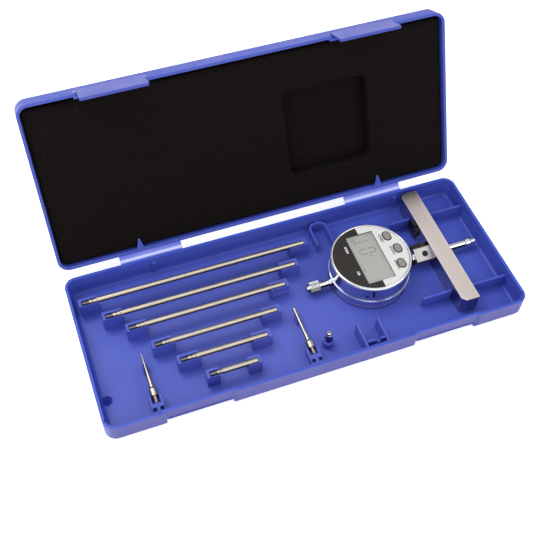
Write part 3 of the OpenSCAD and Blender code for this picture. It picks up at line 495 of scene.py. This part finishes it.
def button_chrome():
    """The small point on its post: a painted deep blue reflection below, a bright ring and its centre hole
    in painted shade on top.
    """
    look = Look("button_chrome", (200, 200, 205), 0.08, 1.0)
    # Painted reflection: deep blue below a height, bright chrome above it.
    rise = look.axis("Z", 15.0 * MM, 15.6 * MM)
    base = look.blend(rise, (96, 100, 150), (214, 206, 192))
    # Painted shade: dark in the small hole at the top.
    bore_shade = look.near(tray_point(157.7, 20.1, 17.7), 0.55, 0.75)
    look.tint(look.blend(bore_shade, base, (40, 38, 40)))
    look.wear(300, 0.06, 0.12)
    look.soft_edges(0.15)
    return look.mat


def painted(name, colour, other, rough=0.45, metal=0.0):
    look = Look(name, colour, rough, metal)
    look.mottle(160, other, 0.5)
    look.wear(500, rough * 0.85, rough * 1.15)
    look.soft_edges(0.12)
    look.grain(3500, 0.004)
    return look.mat


def ink(name, colour, other):
    look = Look(name, colour, 0.5)
    look.mottle(2000, other, 0.5)
    return look.mat


def face_print():
    """Pale and dark halves of the dial's face, parted along a line across the window."""
    look = Look("face_print", (214, 213, 207), 0.45, Specular_IOR_Level=0.3)
    parting, blur = dial_point(-0.7, 0, 0).x, 0.04 * MM
    side = look.axis("X", parting - blur, parting + blur)
    fine = look.cloud(2200, 0.6, 2.0, (0.05, 1, 1), 0.3, 0.7)
    pale = look.blend(fine, (203, 205, 198), (192, 193, 187))
    dark = look.blend(fine, (36, 31, 26), (43, 38, 33))
    # Painted shade: upright faces, the walls of the window among them, near black.
    look.tint(look.blend(look.upright(), look.blend(side, dark, pale), (34, 32, 32)))
    look.wear(600, 0.34, 0.46)
    look.soft_edges(0.1)
    look.grain(2600, 0.003)
    return look.mat


def display():
    look = Look("display", (163, 166, 158), 0.3)
    along = look.axis("Y", dial_point(0, -21, 0).y, dial_point(0, 21, 0).y)
    base = look.blend(along, (157, 158, 148), (151, 150, 140))
    look.tint(look.blend(look.cloud(4000, 0.25, 1.0, low=0.3, high=0.7), base, (144, 143, 134)))
    look.grain(3000, 0.002)
    return look.mat


def clear_lens():
    look = Look("clear_lens", (240, 240, 238), 0.06, Alpha=0.14, Specular_IOR_Level=0.6)
    look.grain(200, 0.002)
    return look.mat


def board_green():
    look = Look("board_green", (22, 84, 44), 0.4)
    brick = look.node("ShaderNodeTexBrick", Scale=260.0)
    look.link(look.coord, brick.inputs["Vector"])
    fac = look.spread(brick.outputs["Fac"], 0.0, 1.0, 0.0, 0.8)
    look.tint(look.blend(fac, (22, 84, 44), (120, 118, 60)))
    look.grain(1200, 0.01)
    return look.mat


POINT_EDGE = tray_point(0, POINT_THREAD_Y, 0).y
SPINDLE_AXIS = dial_point(0, 0, AXIS_Z)
# The stretch of stem between the dial and the block, which gets painted shade.
STEM_SHADE_SPAN = (dial_point(DIAL_R, 0, 0).x, dial_point(33.5, 0, 0).x)

MATS = {
    "case": tray_plastic(),
    "lid": lid_plastic(),
    "clasp": clasp_plastic(),
    "strip": strip_plastic(),
    "foam": foam(),
    "chrome": chrome(),
    "shell": shell_chrome(),
    "bezel": painted("bezel_bright", (232, 232, 226), (216, 216, 210), 0.2, 0.8),
    "face": face_print(),
    "display": display(),
    "lens": clear_lens(),
    "board": board_green(),
    "across_x": ground("steel_round_x", (206, 200, 188), 0.2, (1, 0.04, 0.04)),
    "needle": rod_steel("needle_steel", (206, 193, 174), "Y", POINT_EDGE, tray_point(NEEDLE_X, 0, POINT_Z)),
    "point": rod_steel("point_steel", (204, 190, 170), "Y", POINT_EDGE, tray_point(FLAT_X, 0, POINT_Z)),
    "axle": rod_steel("axle_steel", (222, 216, 202), "X", None, SPINDLE_AXIS, 0.2, 0.24, 0.74, STEM_SHADE_SPAN),
    "cap": rod_steel("cap_steel", (188, 190, 186), "X", None, SPINDLE_AXIS, 0.24, 0.42),
    "button": button_chrome(),
    "bar": bar_nickel(),
    "block": block_steel(),
    "hole": painted("hole_black", (12, 12, 12), (18, 18, 18), 0.6),
    "rear": rear_chrome(),
    "dark": painted("dark_plastic", (26, 26, 27), (38, 37, 36), 0.5),
    "knob": painted("knob_black", (15, 14, 13), (30, 28, 24), 0.3),
    "grey_button": painted("grey_button", (124, 121, 113), (138, 134, 126), 0.5),
    "black_button": painted("black_button", (8, 8, 20), (14, 14, 28), 0.3),
    "screw": ground("dark_screw", (84, 84, 88), 0.35, (1, 1, 0.1), 0.08),
    "dome": painted("dome_rubber", (206, 205, 196), (190, 188, 178), 0.6),
    "brass": ground("brass", (196, 168, 104), 0.3, (1, 0.1, 1)),
    "lcd_ink": ink("lcd_ink", (98, 98, 92), (90, 90, 85)),
    "lcd_dark": ink("lcd_dark", (74, 73, 69), (84, 83, 79)),
    "print_dark": ink("print_dark", (44, 42, 41), (56, 54, 52)),
    "ring_dark": ink("ring_dark", (30, 28, 28), (40, 38, 37)),
    "print_white": ink("print_white", (226, 226, 222), (206, 206, 202)),
}
for inches, rod_y in ROD_YS.items():
    neck = ROD_NECK if inches > 1 else SHORT_ROD_NECK
    thread_end = tray_point(ROD_MID - inches * HALF_INCH - neck, 0, 0).x
    MATS[f"rod_{inches}"] = rod_steel(f"rod_steel_{inches}", (174, 165, 149), "X", thread_end,
                                      tray_point(0, rod_y, ROD_Z))

CAD_LOOKS = {
    "case": "case_tray",
    "lid": "case_lid",
    "clasp": "clasp_left clasp_right",
    "shell": "front_shell battery_door",
    "bezel": "bezel_ring",
    "face": "face_plate",
    "display": "lcd_panel",
    "lens": "window_lens",
    "dark": "lcd_frame",
    "grey_button": "button_on button_zero button_unit",
    "black_button": "button_up button_down",
    "dome": "key_domes",
    "board": "circuit_board stator_board",
    "chrome": "battery contact_point",
    "cap": "lifting_cap",
    "button": "button_point",
    "axle": "stem upper_sleeve spindle",
    "brass": "battery_clip slider_plate",
    "screw": "door_screw cover_screws bar_screws",
    "hole": "set_screw",
    "rear": "rear_housing rear_cover",
    "across_x": "guide_rod clasp_pins return_spring slider_bracket",
    "bar": "base_bar",
    "block": "clamp_block",
    "knob": "clamp_knob bar_knob",
    "needle": "needle_point",
    "point": "flat_point",
    "foam": "foam_pad foam_backing",
    "strip": "living_hinges",
}
CAD_LOOKS.update({f"rod_{inches}": f"extension_rod_{inches}" for inches in ROD_YS})
for key, names in CAD_LOOKS.items():
    for name in names.split():
        mesh = NODES[name].data
        mesh.materials.clear()
        mesh.materials.append(MATS[key])


# ---------- making pieces ----------

def put(name, data):
    """A new object in the scene."""
    made = bpy.data.objects.new(name, data)
    bpy.context.scene.collection.objects.link(made)
    return made


def to_mesh(bm, name):
    mesh = bpy.data.meshes.new(name)
    bm.to_mesh(mesh)
    bm.free()
    return mesh


def evaluated_mesh(made):
    """The mesh of an object with its modifiers or its curve's depth; the object itself goes."""
    depsgraph = bpy.context.evaluated_depsgraph_get()
    mesh = bpy.data.meshes.new_from_object(made.evaluated_get(depsgraph))
    bpy.data.objects.remove(made)
    return mesh


def piece(name, mesh, material, body=None):
    made = put(name, mesh)
    mesh.materials.clear()
    mesh.materials.append(MATS[material])
    if body:
        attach(made, body)
    return made


def smooth(mesh):
    for p in mesh.polygons:
        p.use_smooth = True


def plates(name, outlines, z, thickness):
    """A mesh of thin flat plates: each outline is a list of (x, y) from the dial's centre."""
    bm = bmesh.new()
    for outline in outlines:
        low = [bm.verts.new(dial_point(x, y, z)) for x, y in outline]
        high = [bm.verts.new(dial_point(x, y, z + thickness)) for x, y in outline]
        n = len(outline)
        bm.faces.new(high)
        bm.faces.new(low[::-1])
        for i in range(n):
            bm.faces.new((low[i], low[(i + 1) % n], high[(i + 1) % n], high[i]))
    bmesh.ops.recalc_face_normals(bm, faces=bm.faces)
    return to_mesh(bm, name)


# Foam: the CAD sheet, with soft edges and an uneven open face
OPEN_FACE, SWELL = 2.0 * MM, 0.12 * MM


def foam_piece(node, voxel_mm, edge_mm, tuck=1):
    mesh = NODES[node].data.copy()
    mesh.transform(opened_matrix().inverted())
    made = put(node + "_soft", mesh)
    bm = bmesh.new()
    bm.from_mesh(mesh)
    bmesh.ops.remove_doubles(bm, verts=bm.verts, dist=1e-5)
    bm.to_mesh(mesh)
    bm.free()
    remesh = made.modifiers.new("remesh", "REMESH")
    remesh.mode = "VOXEL"
    remesh.voxel_size = voxel_mm * MM
    relax = made.modifiers.new("relax", "SMOOTH")
    relax.factor = 0.5
    relax.iterations = int(edge_mm * 3)
    done = evaluated_mesh(made)
    co = np.zeros(len(done.vertices) * 3)
    done.vertices.foreach_get("co", co)
    co = co.reshape(-1, 3)
    wave = (np.sin(co[:, 0] * 61 + 1.3) * np.sin(co[:, 1] * 83 + 0.4)
            + 0.5 * np.sin(co[:, 0] * 173 + co[:, 1] * 131))
    face = co[:, 2] < co[:, 2].min() + OPEN_FACE
    co[face, 2] += SWELL * (wave[face] + 1.5)
    done.vertices.foreach_set("co", co.ravel())
    if tuck != 1:
        x, y = np.ptp(co[:, :2], axis=0) / 2 + co[:, :2].min(axis=0)
        middle = Vector((x, y, 0))
        grow = Matrix.Diagonal((tuck, tuck, 1, 1))
        done.transform(Matrix.Translation(middle) @ grow @ Matrix.Translation(-middle))
    done.transform(opened_matrix())
    smooth(done)
    soft = piece(node + "_soft", done, "foam", "lid")
    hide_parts(node)


foam_piece("foam_pad", 1.5, 1.6)
foam_piece("foam_backing", 0.7, 1.0, 1.03)

# Flexing strips: one curved sheet each, thin along the fold line
STRIP_HALF, STRIP_STEPS, STRIP_COLUMNS = 0.35, 24, 31


def turned(y, z):
    """A point of the closed lid's end view, turned about the hinge to where it stands open."""
    dy, dz = y - HINGE_Y, z - RIM_Z
    cos, sin = math.cos(LID_OPEN), math.sin(LID_OPEN)
    return (HINGE_Y + dy * cos + dz * sin, RIM_Z - dy * sin + dz * cos)


def hinge_strip(name, x_mid):
    start = np.array((CASE_D, RIM_Z - 0.5))
    end = np.array(turned(CASE_D + 0.05, LID_Z + 0.5))
    way = np.array((math.cos(LID_OPEN), -math.sin(LID_OPEN)))
    bend = end + (end[1] - start[1]) / -way[1] * way
    rows = []
    for i in range(STRIP_STEPS + 1):
        t = i / STRIP_STEPS
        p = (1 - t) ** 2 * start + 2 * t * (1 - t) * bend + t * t * end
        v = (1 - t) * (bend - start) + t * (end - bend)
        n = np.array((-v[1], v[0])) / np.linalg.norm(v)
        h = STRIP_HALF * (0.72 + 0.28 * abs(2 * t - 1))
        rows.append((p + h * n, p - h * n))
    bm = bmesh.new()
    xs = np.linspace(-HINGE_W / 2, HINGE_W / 2, STRIP_COLUMNS)
    grid = [[[bm.verts.new(tray_point(x_mid + x, *q)) for q in row] for row in rows] for x in xs]
    for i in range(STRIP_COLUMNS - 1):
        for j in range(STRIP_STEPS):
            for s in (0, 1):
                bm.faces.new((grid[i][j][s], grid[i + 1][j][s], grid[i + 1][j + 1][s], grid[i][j + 1][s]))
        for j in (0, STRIP_STEPS):
            bm.faces.new((grid[i][j][0], grid[i + 1][j][0], grid[i + 1][j][1], grid[i][j][1]))
    for i in (0, STRIP_COLUMNS - 1):
        for j in range(STRIP_STEPS):
            bm.faces.new((grid[i][j][0], grid[i][j + 1][0], grid[i][j + 1][1], grid[i][j][1]))
    bmesh.ops.recalc_face_normals(bm, faces=bm.faces)
    made = piece(name, to_mesh(bm, name), "strip", None)
    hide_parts("living_hinges")
    s, e = tray_point(x_mid, *start), tray_point(x_mid, *end)
    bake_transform(made)


hinge_strip("hinge_strip_left", HINGE_XS[0])
hinge_strip("hinge_strip_right", HINGE_XS[1])

# Return spring: a wire coil round the guide rod
COIL_FROM, COIL_TO, COIL_R, WIRE_R, TURNS, STEPS_A_TURN = -24.4, 15.0, 1.45, 0.22, 30, 16


def coil(name):
    total = TURNS * STEPS_A_TURN
    points = []
    for i in range(total + 1):
        a = 2 * math.pi * i / STEPS_A_TURN
        x = COIL_FROM + (COIL_TO - COIL_FROM) * i / total
        points.append(dial_point(x, SPRING_Y + COIL_R * math.cos(a), AXIS_Z + COIL_R * math.sin(a)))
    curve = bpy.data.curves.new(name, "CURVE")
    curve.dimensions = "3D"
    curve.bevel_depth = WIRE_R * MM
    curve.bevel_resolution = 1
    spline = curve.splines.new("POLY")
    spline.points.add(total)
    for p, q in zip(spline.points, points):
        p.co = (*q, 1)
    mesh = evaluated_mesh(put("tmp", curve))
    smooth(mesh)
    return mesh


spring = piece("spring_coil", coil("spring_coil"), "across_x", "gauge")
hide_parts("return_spring")
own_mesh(spring)

# Digits of the display, made of the lit bars alone
SEGMENTS = {"0": "abcdef", "1": "bc"}
MARK_T = 0.03


def digit(char, x, y, w, h, t):
    """Outlines of a digit's bars. It reads along +Y, and its top is towards -X."""
    bars = {
        "a": ((0, 0), (0, w)), "d": ((h, 0), (h, w)),
        "f": ((0, 0), (h / 2, 0)), "b": ((0, w), (h / 2, w)),
        "e": ((h / 2, 0), (h, 0)), "c": ((h / 2, w), (h, w)),
    }
    made = []
    for key in SEGMENTS[char]:
        (x0, y0), (x1, y1) = bars[key]
        along = np.array((x1 - x0, y1 - y0), float)
        along /= np.linalg.norm(along)
        side = np.array((-along[1], along[0])) * t / 2
        a = np.array((x + x0, y + y0)) + along * t * 0.5
        b = np.array((x + x1, y + y1)) - along * t * 0.5
        made.append([tuple(a), tuple(a + along * t / 2 + side), tuple(b - along * t / 2 + side), tuple(b),
                     tuple(b - along * t / 2 - side), tuple(a + along * t / 2 - side)])
    return made


marks = digit("0", -5.4, 4.4, 4.2, 11.6, 1.0)
marks += digit("1", -4.4, 10.0, 5.4, 9.0, 0.8)
marks.append([(-5.8, 12.6), (-5.1, 12.6), (-5.1, 19.6), (-5.8, 19.6)])
piece("lcd_digits", plates("lcd_digits", marks, LCD_TOP, MARK_T), "lcd_ink", "gauge")
dark_marks = [
    [(0.2, 0.9), (1.6, 1.4), (1.4, 2.4), (0.3, 2.2)],
    [(-8.6, -9.6), (-8.0, -9.6), (-8.0, -7.2), (-8.6, -7.2)],
    [(-7.4, 15.8), (-6.9, 15.8), (-6.9, 18.8), (-7.4, 18.8)],
]
piece("lcd_signs", plates("lcd_signs", dark_marks, LCD_TOP, MARK_T), "lcd_dark", "gauge")

PRINT_T = 0.012
PRINT_Z = FACE_TOP + PRINT_T
RING_STEPS, RING_INNER, RING_OUTER = 48, 0.02, 0.85


def rings(name, shapes):
    """Flat dark rings round the buttons: each shape is (x, y, half straight, radius)."""
    bm = bmesh.new()
    for x, y, half, radius in shapes:
        loops = []
        for r in (radius + RING_INNER, radius + RING_OUTER):
            loop = []
            for i in range(RING_STEPS):
                a = 2 * math.pi * i / RING_STEPS
                shift = half if math.sin(a) >= 0 else -half
                place = dial_point(x + r * math.cos(a), y + r * math.sin(a) + shift, PRINT_Z)
                loop.append(bm.verts.new(place))
            loops.append(loop)
        for i in range(RING_STEPS):
            j = (i + 1) % RING_STEPS
            bm.faces.new((loops[0][i], loops[1][i], loops[1][j], loops[0][j]))
    return to_mesh(bm, name)


shapes = [(x, y, 1.2, 2.25) for x, y in OVAL_BUTTONS] + [(x, y, 0.0, 1.75) for x, y in ROUND_BUTTONS]
piece("button_rings", rings("button_rings", shapes), "ring_dark", "gauge")


def words(name, text, x, y, size, material):
    """Small printed words that read along +Y, with their tops towards -X."""
    curve = bpy.data.curves.new(name, "FONT")
    curve.body = text
    curve.size = size * MM
    curve.align_x = "CENTER"
    curve.align_y = "CENTER"
    curve.extrude = PRINT_T * MM
    curve.space_line = 0.8
    curve.offset = 0.07 * MM
    mesh = evaluated_mesh(put("tmp", curve))
    mesh.transform(Matrix.Translation(dial_point(x, y, PRINT_Z)) @ Matrix.Rotation(math.pi / 2, 4, "Z"))
    piece(name, mesh, material, "gauge")


words("label_zero", "ZERO", 13.4, 12.6, 2.8, "print_dark")
words("label_on", "ON/OFF", 16.6, 0.2, 2.2, "print_dark")
words("label_unit", "mm/inch", 14.2, -12.2, 2.4, "print_dark")
words("label_up", "HOLD", -14.0, 10.6, 2.2, "print_white")
words("label_down", "SET", -13.8, -10.4, 2.2, "print_white")


# ---------- stage, lights, camera ----------

FLOOR_SIZE, FLOOR_DROP = 6, 0.0002


def floor():
    bm = bmesh.new()
    bmesh.ops.create_grid(bm, x_segments=1, y_segments=1, size=FLOOR_SIZE)
    mesh = to_mesh(bm, "studio_floor")
    made = put("studio_floor", mesh)
    made.location = (0, 0, -FLOOR_DROP)
    pale = bpy.data.materials.new("studio_floor")
    pale.use_nodes = True
    shader = pale.node_tree.nodes["Principled BSDF"]
    shader.inputs["Base Color"].default_value = (0.93, 0.93, 0.935, 1)
    shader.inputs["Roughness"].default_value = 0.9
    shader.inputs["Emission Color"].default_value = (1, 1, 1, 1)
    shader.inputs["Emission Strength"].default_value = 0.5
    mesh.materials.append(pale)


def surroundings():
    """White behind the part, and a soft sky, darker below, for what the part reflects."""
    world = bpy.data.worlds.new("studio")
    bpy.context.scene.world = world
    world.use_nodes = True
    tree = world.node_tree
    tree.nodes.clear()
    out = tree.nodes.new("ShaderNodeOutputWorld")
    path = tree.nodes.new("ShaderNodeLightPath")
    coord = tree.nodes.new("ShaderNodeTexCoord")
    split = tree.nodes.new("ShaderNodeSeparateXYZ")
    tree.links.new(coord.outputs["Generated"], split.inputs["Vector"])
    ramp = tree.nodes.new("ShaderNodeValToRGB")
    low, high = ramp.color_ramp.elements
    low.position, low.color = 0.45, (0.42, 0.42, 0.46, 1)
    high.position, high.color = 0.95, (0.83, 0.87, 0.97, 1)
    half = tree.nodes.new("ShaderNodeMapRange")
    half.inputs["From Min"].default_value = -1
    half.inputs["From Max"].default_value = 1
    tree.links.new(split.outputs["Z"], half.inputs["Value"])
    tree.links.new(half.outputs["Result"], ramp.inputs["Fac"])
    soft = tree.nodes.new("ShaderNodeBackground")
    soft.inputs["Strength"].default_value = 0.95
    tree.links.new(ramp.outputs["Color"], soft.inputs["Color"])
    plain = tree.nodes.new("ShaderNodeBackground")
    plain.inputs["Color"].default_value = (1, 1, 1, 1)
    plain.inputs["Strength"].default_value = 1.0
    mix = tree.nodes.new("ShaderNodeMixShader")
    tree.links.new(path.outputs["Is Camera Ray"], mix.inputs["Fac"])
    tree.links.new(soft.outputs["Background"], mix.inputs[1])
    tree.links.new(plain.outputs["Background"], mix.inputs[2])
    tree.links.new(mix.outputs["Shader"], out.inputs["Surface"])


def area(name, place, size, power, colour=(1, 1, 1)):
    """A rectangular light that looks at the middle of the part."""
    light = bpy.data.lights.new(name, "AREA")
    light.shape = "RECTANGLE"
    light.size, light.size_y = size
    light.energy = power
    light.color = colour
    made = put(name, light)
    made.location = place
    made.rotation_mode = "QUATERNION"
    made.rotation_quaternion = (-Vector(place)).to_track_quat("-Z", "Y")


floor()
surroundings()
area("key_light", (-0.5, 0.5, 1.3), (1.1, 0.8), 13)
area("fill_light", (0.9, -0.9, 1.0), (1.2, 0.8), 6)
area("front_light", (-0.6, -1.3, 0.6), (1.4, 0.7), 9, (1.0, 0.86, 0.74))

camera = bpy.data.cameras.new("camera")
camera.lens = 58.572
camera.sensor_width = 36
eye = put("camera", camera)
eye.location = (-0.14608, -0.31493, 0.51339)
eye.rotation_mode = "QUATERNION"
eye.rotation_quaternion = Quaternion((0.936698, 0.303284, -0.064451, -0.162671))
bpy.context.scene.camera = eye
bpy.context.scene.view_settings.view_transform = "Standard"
